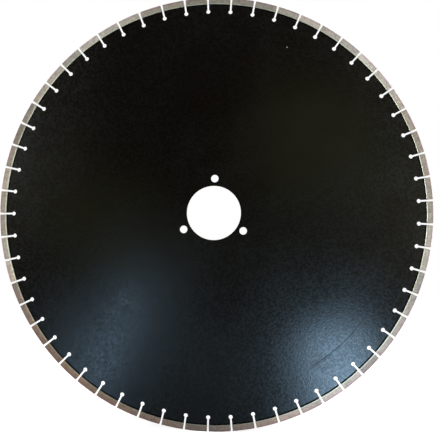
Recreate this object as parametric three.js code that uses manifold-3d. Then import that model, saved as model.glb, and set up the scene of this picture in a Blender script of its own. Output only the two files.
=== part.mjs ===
// A diamond saw blade: one round steel core with diamond segments joined all round its rim.
//
// Millimetres, +Z up. The blade stands on edge. It turns about Y, its front face looks
// along -Y, and the origin is the middle of the bore, halfway through the core.

import * as THREE from 'three';
import { mergeVertices } from 'three/addons/utils/BufferGeometryUtils.js';
import Module from 'manifold-3d';

// The whole blade.
const BLADE_DIAMETER = 800;
const SEGMENT_COUNT = 57;

// The core: a plate with an arbor bore and the holes that the flange's drive pins go through.
const CORE_THICKNESS = 4;
const BORE_DIAMETER = 100;
const PIN_HOLE_COUNT = 3;
const PIN_HOLE_DIAMETER = 14;
const PIN_CIRCLE_DIAMETER = 127;

// A keyhole slot between each two segments: a narrow cut that ends in a round stress-relief hole.
const SLOT_WIDTH = 3.3;
const SLOT_HOLE_DIAMETER = 7.5;
const SLOT_HOLE_DEPTH = 13.2; // from the core's rim to the middle of the round hole

// A segment: the diamond layer that cuts, on a thinner layer without diamond that joins the core.
const SEGMENT_LENGTH = 40;
const DIAMOND_HEIGHT = 10;
const DIAMOND_THICKNESS = 5;
const BACKING_HEIGHT = 2;
const BACKING_THICKNESS = 4.4;
const JOINT_GAP = 0.3; // the layer of brazing metal between a segment and the core

// How the round shapes are cut into facets.
const FACET_SAGITTA = 0.05; // the furthest that a core facet stands off its true arc
const FACETS_PER_PITCH = 4; // facets of the segment ring, from one segment to the next
const CUTTER_MARGIN = 5; // how far the box that trims a segment runs past it

const BLADE_RADIUS = BLADE_DIAMETER / 2;
const SEAT_RADIUS = BLADE_RADIUS - DIAMOND_HEIGHT - BACKING_HEIGHT;
const CORE_RADIUS = SEAT_RADIUS - JOINT_GAP;
const SEGMENT_PITCH = (2 * Math.PI) / SEGMENT_COUNT;
const PIN_PITCH = (2 * Math.PI) / PIN_HOLE_COUNT;
const TOP = Math.PI / 2; // the direction of +Z in the core's outline

const BLACK_PAINT = { color: '#1b1b18', roughness: 0.42, metalness: 0 };
const SINTERED_METAL = { color: '#9b9488', roughness: 0.72, metalness: 0.55, flatShading: true };

// Points along an arc round (x, y). A negative sweep runs clockwise.
function arcPoints(x, y, radius, start, sweep) {
  const longestStep = 2 * Math.acos(1 - FACET_SAGITTA / radius);
  const steps = Math.ceil(Math.abs(sweep) / longestStep);
  return new THREE.ArcCurve(x, y, radius, start, start + sweep, sweep < 0).getPoints(steps);
}

// A round hole whose middle is at this distance and direction from the blade's axis.
function roundHole(diameter, distance = 0, direction = 0) {
  const x = distance * Math.cos(direction);
  const y = distance * Math.sin(direction);
  const points = arcPoints(x, y, diameter / 2, 0, 2 * Math.PI);
  return new THREE.Path(points.slice(0, -1)); // the last point of a full circle is its first
}

// The core's outer edge: for each slot, the rim that leads up to it and then the round hole
// at its foot. The slot's two straight walls are the lines that join these arcs.
function coreOutline() {
  const holeRadius = SLOT_HOLE_DIAMETER / 2;
  const holeDistance = CORE_RADIUS - SLOT_HOLE_DEPTH;
  const halfAtRim = Math.asin(SLOT_WIDTH / 2 / CORE_RADIUS);
  const halfAtHole = Math.asin(SLOT_WIDTH / 2 / holeRadius);
  const points = [];
  for (let slot = 0; slot < SEGMENT_COUNT; slot += 1) {
    const direction = TOP + (slot + 0.5) * SEGMENT_PITCH;
    const rimStart = direction - SEGMENT_PITCH + halfAtRim;
    const rimSweep = SEGMENT_PITCH - 2 * halfAtRim;
    points.push(...arcPoints(0, 0, CORE_RADIUS, rimStart, rimSweep));
    const x = holeDistance * Math.cos(direction);
    const y = holeDistance * Math.sin(direction);
    points.push(...arcPoints(x, y, holeRadius, direction - halfAtHole, 2 * (halfAtHole - Math.PI)));
  }
  return new THREE.Shape(points);
}

// The core plate, cut from sheet steel: X and Z across its face, its thickness along Y.
function coreGeometry() {
  const plate = coreOutline();
  plate.holes.push(roundHole(BORE_DIAMETER));
  for (let pin = 0; pin < PIN_HOLE_COUNT; pin += 1) {
    const direction = TOP + pin * PIN_PITCH;
    plate.holes.push(roundHole(PIN_HOLE_DIAMETER, PIN_CIRCLE_DIAMETER / 2, direction));
  }
  const geometry = new THREE.ExtrudeGeometry(plate, { depth: CORE_THICKNESS, bevelEnabled: false });
  geometry.rotateX(Math.PI / 2);
  geometry.translate(0, CORE_THICKNESS / 2, 0);
  return geometry;
}

// The stepped ring that the segments are pieces of. Its section is drawn as radius and Y.
function segmentRingGeometry() {
  const layerRadius = SEAT_RADIUS + BACKING_HEIGHT;
  const section = [
    [SEAT_RADIUS, -BACKING_THICKNESS / 2],
    [layerRadius, -BACKING_THICKNESS / 2],
    [layerRadius, -DIAMOND_THICKNESS / 2],
    [BLADE_RADIUS, -DIAMOND_THICKNESS / 2],
    [BLADE_RADIUS, DIAMOND_THICKNESS / 2],
    [layerRadius, DIAMOND_THICKNESS / 2],
    [layerRadius, BACKING_THICKNESS / 2],
    [SEAT_RADIUS, BACKING_THICKNESS / 2],
    [SEAT_RADIUS, -BACKING_THICKNESS / 2],
  ].map(([radius, y]) => new THREE.Vector2(radius, y));
  return new THREE.LatheGeometry(section, SEGMENT_COUNT * FACETS_PER_PITCH);
}

// The box that holds one segment at the top of the ring, with its two ends parallel.
function segmentBoxGeometry() {
  const height = BLADE_RADIUS - SEAT_RADIUS + 2 * CUTTER_MARGIN;
  const thickness = DIAMOND_THICKNESS + 2 * CUTTER_MARGIN;
  const geometry = new THREE.BoxGeometry(SEGMENT_LENGTH, thickness, height);
  geometry.translate(0, 0, (BLADE_RADIUS + SEAT_RADIUS) / 2);
  return geometry;
}

const wasm = await Module();
wasm.setup();

function toSolid(geometry) {
  const bare = geometry.clone();
  bare.deleteAttribute('normal');
  bare.deleteAttribute('uv');
  const merged = mergeVertices(bare);
  const vertProperties = merged.attributes.position.array;
  const triVerts = new Uint32Array(merged.index.array);
  return new wasm.Manifold(new wasm.Mesh({ numProp: 3, vertProperties, triVerts }));
}

function toGeometry(solid) {
  const mesh = solid.getMesh();
  const geometry = new THREE.BufferGeometry();
  geometry.setAttribute('position', new THREE.BufferAttribute(mesh.vertProperties, 3));
  geometry.setIndex(new THREE.BufferAttribute(mesh.triVerts, 1));
  geometry.computeVertexNormals();
  return geometry;
}

function segmentGeometry() {
  return toGeometry(toSolid(segmentRingGeometry()).intersect(toSolid(segmentBoxGeometry())));
}

function namedMesh(name, geometry, look) {
  const mesh = new THREE.Mesh(geometry, new THREE.MeshStandardMaterial(look));
  mesh.name = name;
  return mesh;
}

// The segments, numbered clockwise from the top as the front shows them.
function segmentRing() {
  const ring = new THREE.Group();
  const geometry = segmentGeometry();
  for (let index = 0; index < SEGMENT_COUNT; index += 1) {
    const number = String(index + 1).padStart(2, '0');
    const segment = namedMesh(`segment_${number}`, geometry, SINTERED_METAL);
    segment.rotation.y = index * SEGMENT_PITCH;
    ring.add(segment);
  }
  return ring;
}

const blade = new THREE.Group();
blade.add(namedMesh('steel_core', coreGeometry(), BLACK_PAINT));
blade.add(segmentRing());

export default blade;
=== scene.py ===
"""Looks of a diamond saw blade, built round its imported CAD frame.

Metres, +Z up. The blade stands on edge and turns about Y. Its front face looks along -Y, and
the origin is the middle of the bore, halfway through the core.
"""

import math
from collections import namedtuple
from itertools import product

import bpy
import numpy as np
from mathutils import Matrix, Quaternion, Vector, noise
from mathutils.geometry import delaunay_2d_cdt


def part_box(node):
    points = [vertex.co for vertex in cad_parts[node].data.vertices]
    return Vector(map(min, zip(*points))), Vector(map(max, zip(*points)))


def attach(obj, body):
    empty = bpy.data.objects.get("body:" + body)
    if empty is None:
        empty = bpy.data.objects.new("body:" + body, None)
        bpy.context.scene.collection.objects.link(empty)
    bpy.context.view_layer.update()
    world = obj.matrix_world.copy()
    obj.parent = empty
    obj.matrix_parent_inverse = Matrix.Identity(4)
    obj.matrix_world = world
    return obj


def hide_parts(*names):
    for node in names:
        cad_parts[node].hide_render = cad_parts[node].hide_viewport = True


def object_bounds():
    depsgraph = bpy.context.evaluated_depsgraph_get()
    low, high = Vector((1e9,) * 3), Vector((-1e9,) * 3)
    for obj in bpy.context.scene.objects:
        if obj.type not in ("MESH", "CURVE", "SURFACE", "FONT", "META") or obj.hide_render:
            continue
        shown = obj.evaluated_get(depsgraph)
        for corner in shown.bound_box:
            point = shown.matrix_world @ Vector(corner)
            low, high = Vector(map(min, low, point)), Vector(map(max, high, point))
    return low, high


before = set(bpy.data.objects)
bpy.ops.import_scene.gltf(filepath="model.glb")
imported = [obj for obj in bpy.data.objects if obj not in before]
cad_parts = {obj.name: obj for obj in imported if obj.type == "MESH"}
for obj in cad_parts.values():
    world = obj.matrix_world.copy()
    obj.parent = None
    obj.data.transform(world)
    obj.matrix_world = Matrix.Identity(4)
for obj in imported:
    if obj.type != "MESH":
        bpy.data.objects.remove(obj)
CAD_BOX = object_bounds()

MM = 0.001

# The sizes that the CAD parts have, in millimetres.
SEGMENT_NODES = sorted(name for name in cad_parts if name.startswith("segment_"))
SEGMENT_COUNT = len(SEGMENT_NODES)
PITCH = 2 * math.pi / SEGMENT_COUNT
TOP = math.pi / 2
CORE_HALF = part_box("steel_core")[1].y / MM
BLADE_RADIUS = CAD_BOX[1].x / MM
DIAMOND_HEIGHT = 10.0
BACKING_HEIGHT = 2.0
SEAT_RADIUS = BLADE_RADIUS - DIAMOND_HEIGHT - BACKING_HEIGHT
CORE_RADIUS = SEAT_RADIUS - 0.3
BORE_RADIUS = 50.0
PIN_RADIUS = 7.0
PIN_CIRCLE_RADIUS = 63.5
PIN_COUNT = 3
SLOT_HALF = 1.65
SLOT_END_RADIUS = 3.75
SLOT_END_DISTANCE = CORE_RADIUS - 13.2
SEGMENT_HALF_LENGTH = 20.0
DIAMOND_HALF = 2.5
BACKING_HALF = 2.2

# Edge work on the core, in millimetres.
SLOT_CHAMFER = 0.25
PIN_CHAMFER = 0.4
BORE_CHAMFER = 0.55
RELIEF_RADIUS = 385.8  # outside this the rim is ground thinner, to keep clear of the braze
RELIEF_DROP = 0.25


def clamp(value, low, high):
    return max(low, min(high, value))


# ---------------------------------------------------------------- camera

# The photograph's viewing angle is nearly face-on, slightly right and low. Metres and degrees.
CAMERA_PLACE = (0.12710, -1.77287, -0.08011)
CAMERA_AIM = (0.01173, 0.0, -0.012746)
CAMERA_ROLL = 1.5766
CAMERA_LENS = 78.92  # millimetres, on a sensor this wide
SENSOR_WIDTH = 36.0


def face_towards(thing, location, target, roll):
    """Puts a camera or a light at a place, facing the target and rolled about its own aim."""
    aim = (Vector(target) - Vector(location)).to_track_quat("-Z", "Y")
    turn = aim @ Quaternion((0.0, 0.0, 1.0), math.radians(roll))
    thing.matrix_world = Matrix.Translation(location) @ turn.to_matrix().to_4x4()


def add_camera():
    data = bpy.data.cameras.new("camera")
    data.sensor_width = SENSOR_WIDTH
    data.lens = CAMERA_LENS
    camera = bpy.data.objects.new("camera", data)
    bpy.context.scene.collection.objects.link(camera)
    face_towards(camera, CAMERA_PLACE, CAMERA_AIM, CAMERA_ROLL)
    bpy.context.scene.camera = camera


# ---------------------------------------------------------------- node helpers

# The Mix node has sockets for each kind of data, and these are the ones for colours.
MIX_SHARE = 0
MIX_FIRST = 6
MIX_SECOND = 7
MIX_RESULT = 2


class Nodes:
    """A short way to write the node tree of a material or the world, from an empty one."""

    def __init__(self, tree):
        self.tree = tree
        tree.nodes.clear()

    def add(self, kind, **inputs):
        """A node. Each input is named for its socket, with _ for a space."""
        node = self.tree.nodes.new(kind)
        for name, value in inputs.items():
            self.put(node.inputs[name.replace("_", " ")], value)
        return node

    def put(self, socket, value):
        """Links a socket if the value is another node's output, and else sets it."""
        if isinstance(value, bpy.types.NodeSocket):
            self.tree.links.new(value, socket)
        else:
            socket.default_value = value

    def math(self, operation, *values):
        node = self.tree.nodes.new("ShaderNodeMath")
        node.operation = operation
        for socket, value in zip(node.inputs, values):
            self.put(socket, value)
        return node.outputs[0]

    def squares(self, first, second):
        """The sum of two squares."""
        return self.math("ADD", self.math("MULTIPLY", first, first),
                         self.math("MULTIPLY", second, second))

    def ramp(self, value, low, high, to_low=0.0, to_high=1.0):
        """Maps a value from low..high smoothly to another range, held at its ends."""
        node = self.tree.nodes.new("ShaderNodeMapRange")
        node.interpolation_type = "SMOOTHSTEP"
        node.clamp = True
        for name, number in (("Value", value), ("From Min", low), ("From Max", high),
                             ("To Min", to_low), ("To Max", to_high)):
            self.put(node.inputs[name], number)
        return node.outputs["Result"]

    def border(self, value, middle, softness, below=0.0, above=1.0):
        """One number below a middle value and another above it, with a soft change between."""
        return self.ramp(value, middle - softness, middle + softness, below, above)

    def blend(self, kind, share, first, second):
        node = self.tree.nodes.new("ShaderNodeMix")
        node.data_type = "RGBA"
        node.blend_type = kind
        self.put(node.inputs[MIX_SHARE], share)
        self.put(node.inputs[MIX_FIRST], first)
        self.put(node.inputs[MIX_SECOND], second)
        return node.outputs[MIX_RESULT]

    def mix(self, share, first, second):
        """A colour between the first, at share 0, and the second, at share 1."""
        return self.blend("MIX", share, first, second)

    def multiply(self, first, second):
        """One colour filtered by another."""
        return self.blend("MULTIPLY", 1.0, first, second)

    def noise(self, point, scale, detail, roughness=0.5):
        """Smooth noise from 0 to 1 that is mostly near 0.5."""
        node = self.add("ShaderNodeTexNoise", Vector=point, Scale=scale, Detail=detail,
                        Roughness=roughness)
        return node.outputs[0]

    def bump(self, height, strength, distance):
        """The surface's direction, where a height of 1 stands out by the distance."""
        node = self.add("ShaderNodeBump", Height=height, Strength=strength, Distance=distance)
        return node.outputs[0]


def grey(value):
    return (value, value, value, 1.0)


def new_material(name):
    material = bpy.data.materials.new(name)
    material.use_nodes = True
    return material, Nodes(material.node_tree)


# A place on the blade, as outputs of a material's nodes: the point and its x, y and z in metres,
# its distance from the axis, and the cosine and sine of its direction from it.
Place = namedtuple("Place", "point x y z radius across upward")


def blade_place(n):
    point = n.tree.nodes.new("ShaderNodeTexCoord").outputs["Object"]
    x, y, z = n.add("ShaderNodeSeparateXYZ", Vector=point).outputs
    radius = n.math("SQRT", n.squares(x, z))
    across = n.math("DIVIDE", x, radius)
    upward = n.math("DIVIDE", z, radius)
    return Place(point, x, y, z, radius, across, upward)


# ---------------------------------------------------------------- paint

PAINT_DARK = (0.0028, 0.0017, 0.0008, 1.0)
PAINT_LIGHT = (0.0046, 0.0038, 0.0020, 1.0)
# The paint's colour where a haze of light is painted on it, at its left and right edges.
PAINT_HAZE_COLOUR = (0.0084, 0.0070, 0.0040, 1.0)
PAINTED_LIGHT_SLOPE = 0.9  # how fast the painted light makes the paint lighter to the right and downwards, per metre
PAINT_ROUGHNESS = (0.185, 0.215)
PAINT_GLOSS = 1.0  # as a specular level
GRAIN_SCALE = 265.0
GRAIN_HEIGHT = 0.065  # millimetres
GRAIN_STRENGTH = 1.0
GRAIN_ROUGHNESS = 0.027  # how much rougher or smoother the grain makes the paint

# The rim's relief is ground to bare steel, burnt dark. Scratches are as dark.
GROUND_OFF = (0.0010, 0.0008, 0.0008, 1.0)
RELIEF_ROUGHNESS = 0.6
RELIEF_BLUR = 0.2  # how soft its border is, in millimetres

# Where a haze of light is painted on the paint, lighter and browner, in millimetres: the middle
# (x, z) and the reach.
PAINTED_HAZE_PATCHES = [(-385.0, 80.0, 240.0), (385.0, -10.0, 200.0)]

# Fine curved scratches in the front's paint, in millimetres and degrees: the middle of the
# arc (x, z), its radius, its first and last direction, and how far it reaches to each side.
SCRATCHES = [
    (41.0, -31.5, 282.7, -62.0, -29.0, 0.95),
    (38.0, -31.5, 287.5, -63.0, -48.0, 0.65),
    (0.0, 0.0, 301.0, -49.0, -41.0, 0.50),
    (20.0, 10.0, 331.0, -44.0, -33.0, 0.45),
]
SCRATCH_CORE = 0.4  # within this share of its reach a scratch is at its darkest
SCRATCH_FADE = 5.0  # the degrees over which each end fades out
SCRATCH_ROUGHNESS = 0.5
FRONT_BLUR = 0.5  # how softly the front's marks end inside the core, in millimetres

# A small pale chip in the front's paint, in millimetres.
CHIP_X = 127.0
CHIP_Z = 309.5
CHIP_RADIUS = 1.1
CHIP_COLOUR = (0.35, 0.35, 0.30, 1.0)


def squared_distance(n, place, x, z):
    """The square of how far a place is from a point given in millimetres."""
    return n.squares(n.math("SUBTRACT", place.x, x * MM), n.math("SUBTRACT", place.z, z * MM))


def painted_haze_mask(n, place, blotches):
    """How much painted haze of light a place has: most in the middle of a patch, and uneven."""
    mask = 0.0
    for x, z, reach in PAINTED_HAZE_PATCHES:
        away = n.math("SQRT", squared_distance(n, place, x, z))
        mask = n.math("MAXIMUM", mask, n.ramp(away, 0.0, reach * MM, 1.0, 0.0))
    return n.math("MULTIPLY", mask, n.ramp(blotches, 0.3, 0.7, 0.5, 1.0))


def scratch_mask(n, place):
    """How much of a scratch there is at a place: 1 on one, 0 away from them all."""
    mask = 0.0
    for x, z, arc_radius, first, last, reach in SCRATCHES:
        away = n.math("SQRT", squared_distance(n, place, x, z))
        off = n.math("ABSOLUTE", n.math("SUBTRACT", away, arc_radius * MM))
        line = n.ramp(off, reach * MM * SCRATCH_CORE, reach * MM, 1.0, 0.0)
        direction = n.math("ARCTAN2", n.math("SUBTRACT", place.z, z * MM),
                           n.math("SUBTRACT", place.x, x * MM))
        begins = n.ramp(direction, math.radians(first), math.radians(first + SCRATCH_FADE))
        ends = n.ramp(direction, math.radians(last - SCRATCH_FADE), math.radians(last), 1.0, 0.0)
        arc_share = n.math("MULTIPLY", line, n.math("MULTIPLY", begins, ends))
        mask = n.math("MAXIMUM", mask, arc_share)
    return mask


def paint_colour(n, place, blotches, bare, front):
    """Black paint with painted light and a chip, and dark where it is bare."""
    # Painted light and shade: the paint is painted darker and browner at the top and upper left,
    # and lighter and greener to the right and downwards.
    light_slope = n.math("MULTIPLY", n.math("SUBTRACT", place.x, place.z), PAINTED_LIGHT_SLOPE)
    shade = n.ramp(n.math("ADD", blotches, light_slope), 0.25, 0.75)
    colour = n.mix(shade, PAINT_DARK, PAINT_LIGHT)
    # A haze of light is painted in, lighter and browner, at the left and right edges.
    colour = n.mix(painted_haze_mask(n, place, blotches), colour, PAINT_HAZE_COLOUR)
    colour = n.mix(bare, colour, GROUND_OFF)
    # The chip is whole as far as half its radius.
    away = squared_distance(n, place, CHIP_X, CHIP_Z)
    reach = (CHIP_RADIUS * MM) ** 2
    chip = n.ramp(away, reach / 4, reach, front, 0.0)
    return n.mix(chip, colour, CHIP_COLOUR)


def paint_material():
    """Semi-gloss black paint with a fine grain, painted light, scratches and a chip."""
    material, n = new_material("black_paint")
    place = blade_place(n)
    blotches = n.noise(place.point, scale=7.0, detail=4.0, roughness=0.55)
    grain = n.noise(place.point, scale=GRAIN_SCALE, detail=1.0)
    front = n.border(place.y, 0.0, FRONT_BLUR * MM, 1.0, 0.0)
    scratches = n.math("MULTIPLY", front, scratch_mask(n, place))
    relief = n.border(place.radius, RELIEF_RADIUS * MM, RELIEF_BLUR * MM)
    bare = n.math("MAXIMUM", relief, scratches)
    gloss = n.math("ADD", n.ramp(blotches, 0.3, 0.7, *PAINT_ROUGHNESS),
                   n.ramp(grain, 0.35, 0.65, -GRAIN_ROUGHNESS, GRAIN_ROUGHNESS))
    rough = n.math("MAXIMUM", n.math("MULTIPLY", relief, RELIEF_ROUGHNESS),
                   n.math("MULTIPLY", scratches, SCRATCH_ROUGHNESS))
    shader = n.add(
        "ShaderNodeBsdfPrincipled",
        Base_Color=paint_colour(n, place, blotches, bare, front),
        Roughness=n.math("MAXIMUM", gloss, rough),
        Metallic=relief,
        Specular_IOR_Level=PAINT_GLOSS,
        Normal=n.bump(grain, GRAIN_STRENGTH, GRAIN_HEIGHT * MM),
    )
    n.add("ShaderNodeOutputMaterial", Surface=shader.outputs[0])
    return material


# ---------------------------------------------------------------- segment metal

BODY_DARK = (0.59, 0.51, 0.40, 1.0)
BODY_LIGHT = (0.81, 0.69, 0.54, 1.0)
SPECK_LIGHT = (0.98, 0.86, 0.74, 1.0)
SPECK_DARK = (0.32, 0.24, 0.19, 1.0)
SINTERED_METALLIC = 0.85
SIDE_GRINDING = 0.85  # how strongly the ground sides smear what they mirror
SIDE_ROUGHNESS = (0.37, 0.43)
SIDE_BUMP_HEIGHT = 0.1  # millimetres
SIDE_BUMP_STRENGTH = 0.1

# Outside this radius the bond is darker and pinker, where it has cut. Millimetres.
CUTTING_BAND = 396.6
CUTTING_BLUR = 1.0
WORN_DARK = (0.575, 0.425, 0.37, 1.0)
WORN_LIGHT = (0.725, 0.54, 0.465, 1.0)

# The pale band at a segment's foot ends at this radius. Millimetres.
FOOT_TOP = 390.6
FOOT_BLUR = 0.4
FOOT_COLOUR = (0.74, 0.70, 0.52, 1.0)
BAND_WANDER = 1.6  # how far the borders of the bands wander in and out, in millimetres

# Painted light on the segments at the lower right: a pinker tint against the bluish light there,
# and a painted highlight on the bands at their feet. A side of the blade is a direction about its
# axis in degrees, and how much of it a place belongs to goes from none to all between these two
# cosines of the turn away from it.
PAINTED_LIGHT_DIRECTION = -50.0
PAINTED_LIGHT_REACH = (0.84, 0.95)
PAINTED_LIGHT_TINT = (1.05, 0.965, 0.975, 1.0)
PAINTED_FOOT_HIGHLIGHT = (0.98, 0.95, 0.76, 1.0)
HIGHLIGHT_LIFT = 0.5  # how far the painted highlight lifts the feet from their segment's own tone to the palest

# Segments at the bottom and lower left are browner.
BROWN_DIRECTION = -114.0
BROWN_REACH = (0.55, 0.86)
BROWN_TINT = (1.22, 0.97, 0.87, 1.0)
BROWN_FOOT = (0.80, 0.62, 0.44, 1.0)


def side_of_blade(n, place, degrees, reach):
    """How much a place belongs to the side of the blade in that direction, from 0 to 1."""
    cosine = n.math("ADD", n.math("MULTIPLY", place.across, math.cos(math.radians(degrees))),
                    n.math("MULTIPLY", place.upward, math.sin(math.radians(degrees))))
    return n.ramp(cosine, *reach)


def segment_colour(n, place):
    """The mottled and speckled bond, its worn outer band and the pale band at its foot, with
    painted light at the lower right.
    """
    mottle = n.noise(place.point, scale=170.0, detail=3.0, roughness=0.6)
    specks = n.noise(place.point, scale=420.0, detail=2.0)
    brown = side_of_blade(n, place, BROWN_DIRECTION, BROWN_REACH)
    # Painted light at the lower right: a pinker tint, and a painted highlight on the feet.
    painted_light_side = side_of_blade(n, place, PAINTED_LIGHT_DIRECTION, PAINTED_LIGHT_REACH)
    wander = n.math("MULTIPLY", n.math("SUBTRACT", mottle, 0.5), BAND_WANDER * MM)
    radius = n.math("ADD", place.radius, wander)
    foot = n.border(radius, FOOT_TOP * MM, FOOT_BLUR * MM, 1.0, 0.0)
    worn = n.border(radius, CUTTING_BAND * MM, CUTTING_BLUR * MM)

    patches = n.ramp(mottle, 0.35, 0.65)
    body = n.mix(patches, BODY_DARK, BODY_LIGHT)
    body = n.mix(n.ramp(specks, 0.58, 0.68, 0.0, 0.8), body, SPECK_LIGHT)
    body = n.mix(n.ramp(specks, 0.32, 0.42, 0.7, 0.0), body, SPECK_DARK)
    colour = n.mix(worn, body, n.mix(patches, WORN_DARK, WORN_LIGHT))
    colour = n.multiply(colour, n.mix(brown, grey(1.0), BROWN_TINT))
    colour = n.multiply(colour, n.mix(painted_light_side, grey(1.0), PAINTED_LIGHT_TINT))
    foot_colour = n.mix(brown, n.mix(painted_light_side, FOOT_COLOUR, PAINTED_FOOT_HIGHLIGHT), BROWN_FOOT)
    colour = n.mix(foot, colour, foot_colour)

    tone_node = n.tree.nodes.new("ShaderNodeAttribute")
    tone_node.attribute_name = "tone"
    tone = tone_node.outputs["Fac"]
    # The painted highlight lifts the feet at the lower right towards the palest tone.
    lift = n.math("MULTIPLY", n.math("MULTIPLY", painted_light_side, foot), HIGHLIGHT_LIFT)
    lifted = n.math("ADD", tone, n.math("MULTIPLY", n.math("SUBTRACT", 1.0, tone), lift))
    return n.mix(lifted, grey(0.0), colour)


def segment_material():
    """Sintered bronze and cobalt bond with diamond grit, ground on its sides."""
    material, n = new_material("sintered_segment")
    place = blade_place(n)
    grain = n.noise(place.point, scale=700.0, detail=3.0, roughness=0.6)
    # The sides are ground along the rim.
    along_rim = n.add("ShaderNodeCombineXYZ", X=n.math("MULTIPLY", place.upward, -1.0),
                      Z=place.across)
    shader = n.add(
        "ShaderNodeBsdfPrincipled",
        Base_Color=segment_colour(n, place),
        Roughness=n.ramp(grain, 0.3, 0.7, *SIDE_ROUGHNESS),
        Metallic=SINTERED_METALLIC,
        Anisotropic=SIDE_GRINDING,
        Normal=n.bump(grain, SIDE_BUMP_STRENGTH, SIDE_BUMP_HEIGHT * MM),
        Tangent=along_rim.outputs[0],
    )
    n.add("ShaderNodeOutputMaterial", Surface=shader.outputs[0])
    return material


# ---------------------------------------------------------------- brazing metal

BRAZE_DARK = (0.68, 0.63, 0.46, 1.0)
BRAZE_LIGHT = (0.80, 0.74, 0.56, 1.0)
BRAZE_METALLIC = 0.85
BRAZE_ROUGHNESS = (0.45, 0.6)
BRAZE_BUMP_HEIGHT = 0.2  # millimetres
BRAZE_BUMP_STRENGTH = 0.3
OXIDE_COLOUR = grey(0.02)
OXIDE_RADIUS = 388.35  # inside this the braze is black with oxide, like the core's rim
OXIDE_BLUR = 0.3


def braze_material():
    """Pale silver-brass brazing metal."""
    material, n = new_material("brazing_metal")
    place = blade_place(n)
    flow = n.noise(place.point, scale=220.0, detail=3.0, roughness=0.55)
    pale = n.mix(n.ramp(flow, 0.35, 0.7), BRAZE_DARK, BRAZE_LIGHT)
    oxide = n.ramp(place.radius, OXIDE_RADIUS * MM, (OXIDE_RADIUS + OXIDE_BLUR) * MM, 1.0, 0.0)
    shader = n.add(
        "ShaderNodeBsdfPrincipled",
        Base_Color=n.mix(oxide, pale, OXIDE_COLOUR),
        Roughness=n.ramp(flow, 0.3, 0.7, *BRAZE_ROUGHNESS),
        Metallic=BRAZE_METALLIC,
        Normal=n.bump(flow, BRAZE_BUMP_STRENGTH, BRAZE_BUMP_HEIGHT * MM),
    )
    n.add("ShaderNodeOutputMaterial", Surface=shader.outputs[0])
    return material


# ---------------------------------------------------------------- mesh helpers

SHARP_ANGLE = math.radians(35)


class Shell:
    """Collects the points and faces of one mesh, in millimetres."""

    def __init__(self):
        self.points = []
        self.faces = []
        self.groups = []

    def add_points(self, points):
        """Takes a row of points and gives their numbers in the mesh."""
        first = len(self.points)
        self.points.extend(points)
        return list(range(first, len(self.points)))

    def add_face(self, face, group=0):
        self.faces.append(tuple(face))
        self.groups.append(group)

    def bridge(self, first, second, group, closed=True, flip=False):
        """Quads between two rows of points that match one to one."""
        count = len(first)
        for i in range(count if closed else count - 1):
            j = (i + 1) % count
            quad = (first[i], first[j], second[j], second[i])
            self.add_face(quad[::-1] if flip else quad, group)

    def to_object(self, name, material):
        """The piece itself, smooth but for its sharp edges, riding on the one body."""
        mesh = bpy.data.meshes.new(name)
        mesh.from_pydata((np.array(self.points) * MM).tolist(), [], self.faces)
        mesh.materials.append(material)
        mesh.polygons.foreach_set("use_smooth", [True] * len(self.faces))
        self.mark_sharp(mesh)
        mesh.update()
        piece = bpy.data.objects.new(name, mesh)
        bpy.context.scene.collection.objects.link(piece)
        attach(piece, "root")
        return piece

    def mark_sharp(self, mesh):
        """Edges are sharp between two groups of faces, and where the surface turns steeply.

        The mesh is closed, so each edge has two faces.
        """
        faces_of = {}
        for polygon in mesh.polygons:
            for key in polygon.edge_keys:
                faces_of.setdefault(key, []).append(polygon.index)
        sharp = []
        for edge in mesh.edges:
            first, second = faces_of[edge.key]
            turn = mesh.polygons[first].normal.angle(mesh.polygons[second].normal, 0.0)
            sharp.append(self.groups[first] != self.groups[second] or turn > SHARP_ANGLE)
        mesh.attributes.new("sharp_edge", "BOOLEAN", "EDGE").data.foreach_set("value", sharp)


def turned(x, z, angle):
    """A point (x, z) turned about the blade's axis."""
    cosine = math.cos(angle)
    sine = math.sin(angle)
    return (x * cosine - z * sine, x * sine + z * cosine)


def arc(radius, start, sweep, steps):
    """Points (x, z) on an arc about the axis, from its start to its end."""
    return [turned(radius, 0.0, start + sweep * step / steps) for step in range(steps + 1)]


def circle(radius, steps, x=0.0, z=0.0):
    """Points (x, z) all round a circle."""
    angles = [2 * math.pi * i / steps for i in range(steps)]
    return [(x + radius * math.cos(a), z + radius * math.sin(a)) for a in angles]


def on_rim(along, radius, angle):
    """The (x, z) of a point of a ring, that far beside a direction clockwise from the top."""
    upward = math.sqrt(radius * radius - along * along)
    return turned(along, upward, -angle)


# ---------------------------------------------------------------- core

# The groups of faces that meet at sharp edges.
FACE, RELIEF, CHAMFER, WALL = range(4)

# How many steps the arcs of the core's outline have, and how many points there are from one
# slot to the next: the rim, the slot's end, and a point where each wall meets the relief.
RIM_STEPS = 14
END_STEPS = 24
SLOT_POINTS = (RIM_STEPS + 1) + (END_STEPS + 1) + 2
BORE_STEPS = 180
PIN_STEPS = 48

# Points in rings over each flat face keep its triangles even. Millimetres.
RING_RADII = range(84, 366, 12)
RING_SPACING = 14.0
SAME_POINT = 1e-6  # points closer than this would be joined

Hole = namedtuple("Hole", "radius chamfer x z steps")


def core_holes():
    """The bore and the drive-pin holes."""
    holes = [Hole(BORE_RADIUS, BORE_CHAMFER, 0.0, 0.0, BORE_STEPS)]
    for pin in range(PIN_COUNT):
        x, z = turned(PIN_CIRCLE_RADIUS, 0.0, TOP + pin * 2 * math.pi / PIN_COUNT)
        holes.append(Hole(PIN_RADIUS, PIN_CHAMFER, x, z, PIN_STEPS))
    return holes


def slot_direction(slot):
    return TOP + (slot + 0.5) * PITCH


def rim_arc(radius, slot, half_slot):
    """The rim that leads up to a slot from the one before it, given half a slot's width."""
    half_angle = math.asin(half_slot / radius)
    start = slot_direction(slot) - PITCH + half_angle
    return arc(radius, start, PITCH - 2 * half_angle, RIM_STEPS)


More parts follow.
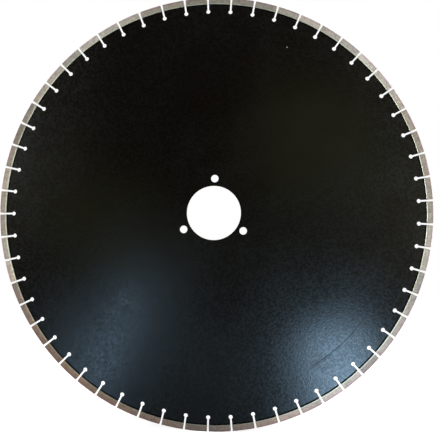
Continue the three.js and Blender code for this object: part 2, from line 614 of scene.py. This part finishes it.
def slot_outline(rim_radius, inset):
    """The core's edge as (x, z) points, moved into the metal by the inset.

    Each slot adds the rim that leads up to it, its wall as far as the relief line, the round
    hole at its foot, and the relief line again. Outlines match point for point.
    """
    half = SLOT_HALF + inset
    end_radius = SLOT_END_RADIUS + inset
    half_turn = math.asin(half / end_radius)
    line = math.sqrt(RELIEF_RADIUS ** 2 - half ** 2)
    points = []
    for slot in range(SEGMENT_COUNT):
        direction = slot_direction(slot)
        points += rim_arc(rim_radius, slot, half)
        points.append(turned(line, -half, direction))
        for along, aside in arc(end_radius, -half_turn, 2 * half_turn - 2 * math.pi, END_STEPS):
            points.append(turned(SLOT_END_DISTANCE + along, aside, direction))
        points.append(turned(line, half, direction))
    return points


def relief_half(x, z):
    """Half the core's thickness at a place on or near the rim."""
    share = (math.hypot(x, z) - RELIEF_RADIUS) / (CORE_RADIUS - RELIEF_RADIUS)
    return CORE_HALF - RELIEF_DROP * clamp(share, 0.0, 1.0)


def add_outer_edge(shell, side):
    """The chamfer all round the rim and the slots, as its rows on the wall and on the face."""
    outer = slot_outline(CORE_RADIUS, 0.0)
    inner = slot_outline(CORE_RADIUS - SLOT_CHAMFER, SLOT_CHAMFER)
    wall_row = shell.add_points(
        [(x, side * (relief_half(x, z) - SLOT_CHAMFER), z) for x, z in outer])
    face_row = shell.add_points([(x, side * relief_half(x, z), z) for x, z in inner])
    shell.bridge(wall_row, face_row, CHAMFER, flip=side > 0)
    return wall_row, face_row


def add_relief(shell, side, edge_row):
    """The thinned strips between the rim and the relief line. Gives the flat face's edge."""
    face_row = []
    for slot in range(SEGMENT_COUNT):
        first = slot * SLOT_POINTS
        after = first + RIM_STEPS + 1
        line = rim_arc(RELIEF_RADIUS, slot, SLOT_HALF + SLOT_CHAMFER)
        middle = shell.add_points([(x, side * CORE_HALF, z) for x, z in line[1:-1]])
        line_row = [edge_row[first - 1], *middle, edge_row[after]]
        shell.bridge(edge_row[first:after], line_row, RELIEF, closed=False, flip=side > 0)
        face_row += middle + edge_row[after:first + SLOT_POINTS]
    return face_row


def add_hole(shell, side, hole):
    """The chamfer round a hole, as its rows on the wall and on the face."""
    inner = circle(hole.radius, hole.steps, hole.x, hole.z)
    outer = circle(hole.radius + hole.chamfer, hole.steps, hole.x, hole.z)
    wall_row = shell.add_points([(x, side * (CORE_HALF - hole.chamfer), z) for x, z in inner])
    face_row = shell.add_points([(x, side * CORE_HALF, z) for x, z in outer])
    shell.bridge(wall_row, face_row, CHAMFER, flip=side < 0)
    return wall_row, face_row


def in_opening(x, z, holes):
    """True where a point is in a hole or a slot, or past the relief line."""
    if math.hypot(x, z) > RELIEF_RADIUS:
        return True
    for hole in holes:
        if math.hypot(x - hole.x, z - hole.z) < hole.radius + hole.chamfer:
            return True
    slot = math.floor((math.atan2(z, x) - TOP) / PITCH)
    outward, aside = turned(x, z, -slot_direction(slot))
    along = outward - SLOT_END_DISTANCE
    in_slot = along > 0 and abs(aside) < SLOT_HALF + SLOT_CHAMFER
    return in_slot or math.hypot(along, aside) < SLOT_END_RADIUS + SLOT_CHAMFER


def triangulate(loops, extra, holes):
    """Triangles of the metal between closed loops of (x, z) points, with extra points inside."""
    flat = [Vector(p) for loop in loops for p in loop] + [Vector(p) for p in extra]
    edges = []
    first = 0
    for loop in loops:
        count = len(loop)
        edges.extend((first + i, first + (i + 1) % count) for i in range(count))
        first += count
    points, _, faces, origins, _, _ = delaunay_2d_cdt(flat, edges, [], 0, SAME_POINT)
    if len(points) != len(flat):
        raise RuntimeError("the core's outline crosses itself")
    kept = []
    for face in faces:
        middle = sum((points[i] for i in face), Vector((0.0, 0.0))) / len(face)
        if not in_opening(middle.x, middle.y, holes):
            kept.append([origins[i][0] for i in face])
    return kept


def add_flat_face(shell, side, rows, holes):
    """The core's flat face, from the row of points at its outer edge to those round its holes."""
    loops = [[(shell.points[i][0], shell.points[i][2]) for i in row] for row in rows]
    extra = []
    for radius in RING_RADII:
        extra += circle(radius, int(2 * math.pi * radius / RING_SPACING))
    known = [i for row in rows for i in row]
    known += shell.add_points([(x, side * CORE_HALF, z) for x, z in extra])
    for face in triangulate(loops, extra, holes):
        corners = [known[i] for i in face]
        a, b, c = (np.array(shell.points[i]) for i in corners[:3])
        if np.cross(b - a, c - a)[1] * side < 0:
            corners.reverse()
        shell.add_face(corners, FACE)


def add_core_side(shell, side, holes):
    """All of one side of the core, -1 for the front. Gives the rows that its walls start from."""
    rim_wall, edge_row = add_outer_edge(shell, side)
    face_rows = [add_relief(shell, side, edge_row)]
    walls = []
    for hole in holes:
        wall_row, face_row = add_hole(shell, side, hole)
        walls.append(wall_row)
        face_rows.append(face_row)
    add_flat_face(shell, side, face_rows, holes)
    return walls, rim_wall


def build_core(material):
    """The core plate with its keyhole slots, holes, chamfers and thinned rim."""
    shell = Shell()
    holes = core_holes()
    front_walls, front_rim = add_core_side(shell, -1, holes)
    back_walls, back_rim = add_core_side(shell, 1, holes)
    for front, back in zip(front_walls, back_walls):
        shell.bridge(front, back, WALL)
    shell.bridge(front_rim, back_rim, WALL, flip=True)
    core = shell.to_object("core_plate", material)
    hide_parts("steel_core")


# ---------------------------------------------------------------- segments

# Some segments are paler or duller than the rest.
PALEST_SEGMENTS = (24, 41)
PALE_SEGMENTS = (5, 8, 9, 10, 16, 17, 23, 25, 26, 42, 45, 49, 50, 52, 53, 54)
DULL_SEGMENTS = (1, 2, 3, 22, 28, 29, 30, 37, 38, 39, 40, 47, 57)
PALEST_TONE = 0.98
PALE_TONE = 0.80
PLAIN_TONE = 0.62
DULL_TONE = 0.50
TONE_SPREAD = 0.04

# A segment's grid of points, in millimetres: they lie closer together near the block's edges,
# and in its height also at the step between the backing and the diamond layer.
EDGE_LINES = (0.0, 0.12, 0.35, 0.8)
LENGTH_STEP = 1.1
WIDTH_STEP = 1.0
HEIGHT_LINES = [0.0, 0.15, 0.5, 1.2, 1.75, 1.95, 2.05, 2.25, 2.7, 3.5, 4.5, 5.5, 6.5, 7.5, 8.5,
                9.5, 10.4, 11.1, 11.5, 11.75, 11.9, 12.0]
STEP_FOOT = 1.95
STEP_HEIGHT = 0.3

# The edges are rounded, and worn unevenly. Millimetres, and waves for each millimetre.
EDGE_RADIUS = 0.35
EDGE_WEAR = 0.4  # how far wear changes the radius, as a share of it
EDGE_WAVES = 0.3
EDGE_WAVES_UP = 0.5

# The sides and the outer face are worn back by a depth that differs from place to place.
# Millimetres, and waves for each millimetre.
WEAR_DEPTH = 0.05
WEAR_DEPTH_SPREAD = 0.02
DEPTH_WAVES = 0.12
DEPTH_FRACTAL = (0.8, 2.0, 2)  # how fast finer waves fade, how much finer they get, and how many
SIDE_POWER = 6  # high, so that a segment's ends are worn back only close to its sides
OUTER_FACE = 11.0  # points higher than this belong to the outer face


def stations(half, step):
    """Grid lines over a length, from -half to half, closer together near both ends."""
    start = -half + EDGE_LINES[-1]
    count = round(-2 * start / step)
    between = [start - 2 * start * i / count for i in range(1, count)]
    return [e - half for e in EDGE_LINES] + between + [half - e for e in reversed(EDGE_LINES)]


SEGMENT_GRID = (
    stations(SEGMENT_HALF_LENGTH, LENGTH_STEP),
    HEIGHT_LINES,
    stations(DIAMOND_HALF, WIDTH_STEP),
)


def segment_tone(number):
    """How pale a segment is: 1 is the palest."""
    if number in PALEST_SEGMENTS:
        return PALEST_TONE
    spread = TONE_SPREAD * noise.noise(Vector((number * 1.7, 3.0, 5.0)))
    if number in PALE_SEGMENTS:
        return PALE_TONE + spread
    if number in DULL_SEGMENTS:
        return DULL_TONE + spread
    return PLAIN_TONE + spread


def half_width_at(height):
    """Half a segment's thickness: the backing is thinner than the diamond layer."""
    share = clamp((height - STEP_FOOT) / STEP_HEIGHT, 0.0, 1.0)
    return BACKING_HALF + (DIAMOND_HALF - BACKING_HALF) * share


def rounded_point(length, height, width, angle):
    """A point of the plain block, moved onto the same block with rounded and worn edges."""
    waves = length * EDGE_WAVES
    seed = Vector((waves * math.cos(angle), waves * math.sin(angle), height * EDGE_WAVES_UP))
    radius = EDGE_RADIUS * (1 + EDGE_WEAR * noise.noise(seed))
    half_height = (DIAMOND_HEIGHT + BACKING_HEIGHT) / 2
    middle = Vector((0.0, half_height, 0.0))
    plain = Vector((length, height, width)) - middle
    limits = (SEGMENT_HALF_LENGTH, half_height, DIAMOND_HALF)
    inner = Vector([
        clamp(value, radius - limit, limit - radius)
        for value, limit in zip(plain, limits)
    ])
    away = plain - inner
    if away.length > radius:
        away = away.normalized() * radius
    return middle + inner + away


def segment_point(length, height, width, angle):
    """A point of a segment's surface, bent to the rim and turned to its place on the blade."""
    along, up, across = rounded_point(length, height, width, angle)
    half_width = half_width_at(up)
    y = across * half_width / DIAMOND_HALF
    radius = SEAT_RADIUS + up
    x, z = on_rim(along, radius, angle)
    uneven = noise.fractal(Vector((x, y, z)) * DEPTH_WAVES, *DEPTH_FRACTAL)
    depth = WEAR_DEPTH + WEAR_DEPTH_SPREAD * clamp(uneven, -1.0, 1.0)
    worn_y = y - math.copysign(depth * (abs(y) / half_width) ** SIDE_POWER, y)
    shrink = 1 - depth / radius if up > OUTER_FACE else 1.0
    return (x * shrink, worn_y, z * shrink)


def block_quads(counts):
    """Each quad on the outside of a grid block: its corners, and whether they run inwards."""
    for axis in range(3):
        first = (axis + 1) % 3
        second = (axis + 2) % 3
        for level in (0, counts[axis]):
            for i, j in product(range(counts[first]), range(counts[second])):
                corners = []
                for di, dj in ((0, 0), (1, 0), (1, 1), (0, 1)):
                    corner = [level, level, level]
                    corner[first] = i + di
                    corner[second] = j + dj
                    corners.append(tuple(corner))
                yield corners, level > 0


def build_segment(node, index, material):
    """A sintered segment, as a rounded block with its own wear."""
    shell = Shell()
    known = {}
    for corners, inwards in block_quads([len(lines) - 1 for lines in SEGMENT_GRID]):
        for corner in corners:
            if corner not in known:
                on_grid = [lines[i] for lines, i in zip(SEGMENT_GRID, corner)]
                point = segment_point(*on_grid, index * PITCH)
                known[corner] = shell.add_points([point])[0]
        face = [known[corner] for corner in corners]
        shell.add_face(face[::-1] if inwards else face)
    piece = shell.to_object(f"sintered_{node}", material)
    tones = piece.data.attributes.new("tone", "FLOAT", "POINT")
    tones.data.foreach_set("value", [segment_tone(index + 1)] * len(shell.points))
    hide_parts(node)


# ---------------------------------------------------------------- brazing

# Half of a bead's section, in millimetres: how far outside the core's rim, and half the
# bead's thickness there.
BEAD_SECTION = [
    (-0.05, 1.45),
    (0.1, 1.95),
    (0.35, 2.18),
    (0.75, 2.28),
    (1.15, 2.26),
    (1.45, 2.12),
]
BEAD_MIDDLE = 0.55
BEAD_HALF_LENGTH = 19.6
BEAD_STEPS = 56
BEAD_END_SIZE = 0.65  # the section at a bead's ends, as a share of the whole one
BEAD_TAPER_POWER = 24  # high, so that only the last few steps taper

# The bead is a little uneven along its length. Its borders creep in and out and its sides
# swell, both as shares of their distances, with waves for each millimetre.
BEAD_CREEP = 0.22
BEAD_SWELL = 0.03
BEAD_WAVES = 0.35
BEAD_SEED = 7.3  # these two keep the waves of each bead and of its two sides apart
SIDE_SEED = 3.1
CREEP_FINENESS = 1.7  # how much finer the borders' waves are than the sides'
CREEP_SEED = Vector((5.0, 1.0, 2.0))


def bead_row(along, index, section):
    """The points of one cross-section of a bead."""
    end_share = abs(along / BEAD_HALF_LENGTH) ** BEAD_TAPER_POWER
    taper = 1 - (1 - BEAD_END_SIZE) * end_share
    row = []
    for offset, across in section:
        side = math.copysign(SIDE_SEED, across)
        seed = Vector((along * BEAD_WAVES, index * BEAD_SEED, side))
        swell = 1 + BEAD_SWELL * noise.noise(seed)
        creep = BEAD_CREEP * noise.noise(seed * CREEP_FINENESS + CREEP_SEED) * offset
        radius = CORE_RADIUS + BEAD_MIDDLE + (offset - BEAD_MIDDLE) * taper + creep
        x, z = on_rim(along, radius, index * PITCH)
        row.append((x, across * swell * taper, z))
    return row


def build_braze(material):
    """The bead of brazing metal between each segment and the core, on both faces."""
    shell = Shell()
    section = [(offset, -half) for offset, half in BEAD_SECTION]
    section += [(offset, half) for offset, half in reversed(BEAD_SECTION)]
    for index in range(SEGMENT_COUNT):
        rows = []
        for step in range(BEAD_STEPS + 1):
            along = BEAD_HALF_LENGTH * (2 * step / BEAD_STEPS - 1)
            rows.append(shell.add_points(bead_row(along, index, section)))
        for first, second in zip(rows, rows[1:]):
            shell.bridge(first, second, 0, flip=True)
        shell.add_face(rows[0])
        shell.add_face(rows[-1][::-1])
    piece = shell.to_object("braze_joints", material)


# ---------------------------------------------------------------- stage

FLOOR_REACH = 40.0
FLOOR_GLOW = 0.5


def add_floor():
    """A pale floor that the blade stands on.

    It glows a little, so it stays pale as far as it goes. It is left out of what lights the
    blade, and it doesn't stop the light of the low panels.
    """
    material, n = new_material("pale_floor")
    matte = n.add("ShaderNodeBsdfDiffuse", Color=grey(0.85))
    glow = n.add("ShaderNodeEmission", Color=grey(1.0), Strength=FLOOR_GLOW)
    both = n.tree.nodes.new("ShaderNodeAddShader")
    n.put(both.inputs[0], matte.outputs[0])
    n.put(both.inputs[1], glow.outputs[0])
    n.add("ShaderNodeOutputMaterial", Surface=both.outputs[0])
    mesh = bpy.data.meshes.new("floor")
    level = CAD_BOX[0].z
    signs = ((-1, -1), (1, -1), (1, 1), (-1, 1))
    corners = [(x * FLOOR_REACH, y * FLOOR_REACH, level) for x, y in signs]
    mesh.from_pydata(corners, [], [(0, 1, 2, 3)])
    mesh.materials.append(material)
    floor = bpy.data.objects.new("floor", mesh)
    bpy.context.scene.collection.objects.link(floor)
    floor.visible_glossy = False
    floor.visible_diffuse = False
    floor.visible_shadow = False


# ---------------------------------------------------------------- light

DAYLIGHT = (0.46, 0.73, 1.0)
SKY_WHITE = (0.72, 0.85, 1.0)
CLOUD_WHITE = (0.85, 0.92, 1.0)
PLAIN_WHITE = (0.97, 1.0, 0.94)
WARM_WHITE = (1.0, 0.89, 0.84)
PURE_WHITE = (1.0, 1.0, 1.0)
PALE_YELLOW = (0.95, 1.0, 0.45)
YELLOW = (0.95, 1.0, 0.30)

# Two low panels that the paint mirrors as the fans of sheen at the lower left and lower right.
# Each is a name, a place, a width, a height, a radiance and a roll in degrees.
SHEEN_LIGHTS = [
    ("sheen_right", (0.336, -1.304, -0.466), 0.18, 0.33, 7.9, 18.3),
    ("sheen_left", (-0.645, -2.36, -0.547), 0.04, 0.80, 7.7, -28.5),
]
SHEEN_AIM = (0.0, 0.0, -0.2)

# Soft panels in front of the rim, which the ground sides of the segments pick up. Each is a
# direction about the blade's axis in degrees, a radiance and a colour.
RIM_LIGHTS = [
    (45, 7.7, CLOUD_WHITE),
    (25, 4.1, PLAIN_WHITE),
    (5, 14.3, SKY_WHITE),
    (-20, 6.0, WARM_WHITE),
    (-155, 1.9, WARM_WHITE),
    (185, 2.1, PLAIN_WHITE),
    (162, 5.4, SKY_WHITE),
    (142, 4.1, PLAIN_WHITE),
    (97, 3.2, SKY_WHITE),
]
RIM_LIGHT_DISTANCE = 0.75  # from the blade's axis
RIM_LIGHT_FRONT = 0.35  # in front of the blade
RIM_LIGHT_WIDTH = 0.28
RIM_LIGHT_HEIGHT = 0.30
RIM_AIM_RADIUS = 0.35

# Panels a long way in front. The two yellow ones lay a faint haze over the paint, and the two
# of daylight widen the sheen at the lower left and carry it along the bottom. Each is a place,
# a size, a radiance and a colour. So are the panels behind the blade, for looks at its back.
HAZE_LIGHTS = [
    ((0.25, -2.40, 0.45), 0.45, 0.12, PALE_YELLOW),
    ((-0.65, -2.40, 0.00), 0.45, 0.09, YELLOW),
    ((-0.71, -2.40, -0.53), 0.24, 0.62, DAYLIGHT),
    ((-0.15, -2.40, -0.62), 0.45, 0.10, DAYLIGHT),
]
BACK_LIGHTS = [
    ((1.4, 1.8, 1.2), 0.8, 6.0, PURE_WHITE),
    ((-1.5, 1.6, 0.6), 0.8, 4.0, PURE_WHITE),
    ((1.15, 1.35, -0.75), 0.35, 5.0, PURE_WHITE),
]
BLADE_MIDDLE = (0.0, 0.0, 0.0)

SOFT_FILL = 0.6  # how strongly the white surroundings light dull surfaces


def add_panel(name, location, target, width, height, radiance, colour, roll=0.0):
    """A soft rectangular light of that radiance, unseen by the camera."""
    data = bpy.data.lights.new(name, "AREA")
    data.shape = "RECTANGLE"
    data.size = width
    data.size_y = height
    data.energy = radiance * math.pi * width * height
    data.color = colour
    light = bpy.data.objects.new(name, data)
    bpy.context.scene.collection.objects.link(light)
    face_towards(light, location, target, roll)
    light.visible_camera = False


def add_lights():
    for name, location, width, height, radiance, roll in SHEEN_LIGHTS:
        add_panel(name, location, SHEEN_AIM, width, height, radiance, DAYLIGHT, roll)
    for degrees, radiance, colour in RIM_LIGHTS:
        across = math.cos(math.radians(degrees))
        upward = math.sin(math.radians(degrees))
        location = (RIM_LIGHT_DISTANCE * across, -RIM_LIGHT_FRONT, RIM_LIGHT_DISTANCE * upward)
        target = (RIM_AIM_RADIUS * across, 0.0, RIM_AIM_RADIUS * upward)
        add_panel(f"rim_{degrees}", location, target, RIM_LIGHT_WIDTH, RIM_LIGHT_HEIGHT,
                  radiance, colour, degrees + 90)
    for kind, panels in (("haze", HAZE_LIGHTS), ("back", BACK_LIGHTS)):
        for number, (location, size, radiance, colour) in enumerate(panels):
            add_panel(f"{kind}_{number}", location, BLADE_MIDDLE, size, size, radiance, colour)


def add_world():
    """White behind everything, a soft fill on dull surfaces, and black in what is mirrored."""
    world = bpy.data.worlds.new("studio")
    world.use_nodes = True
    bpy.context.scene.world = world
    n = Nodes(world.node_tree)
    rays = n.tree.nodes.new("ShaderNodeLightPath").outputs
    fill = n.math("MULTIPLY", rays["Is Diffuse Ray"], SOFT_FILL)
    strength = n.math("ADD", rays["Is Camera Ray"], fill)
    light = n.add("ShaderNodeBackground", Color=grey(1.0), Strength=strength)
    n.add("ShaderNodeOutputWorld", Surface=light.outputs[0])


# ---------------------------------------------------------------- build

add_camera()
bpy.context.scene.view_settings.view_transform = "Standard"

build_core(paint_material())
sintered = segment_material()
for position, node_name in enumerate(SEGMENT_NODES):
    build_segment(node_name, position, sintered)
build_braze(braze_material())

add_floor()
add_lights()
add_world()
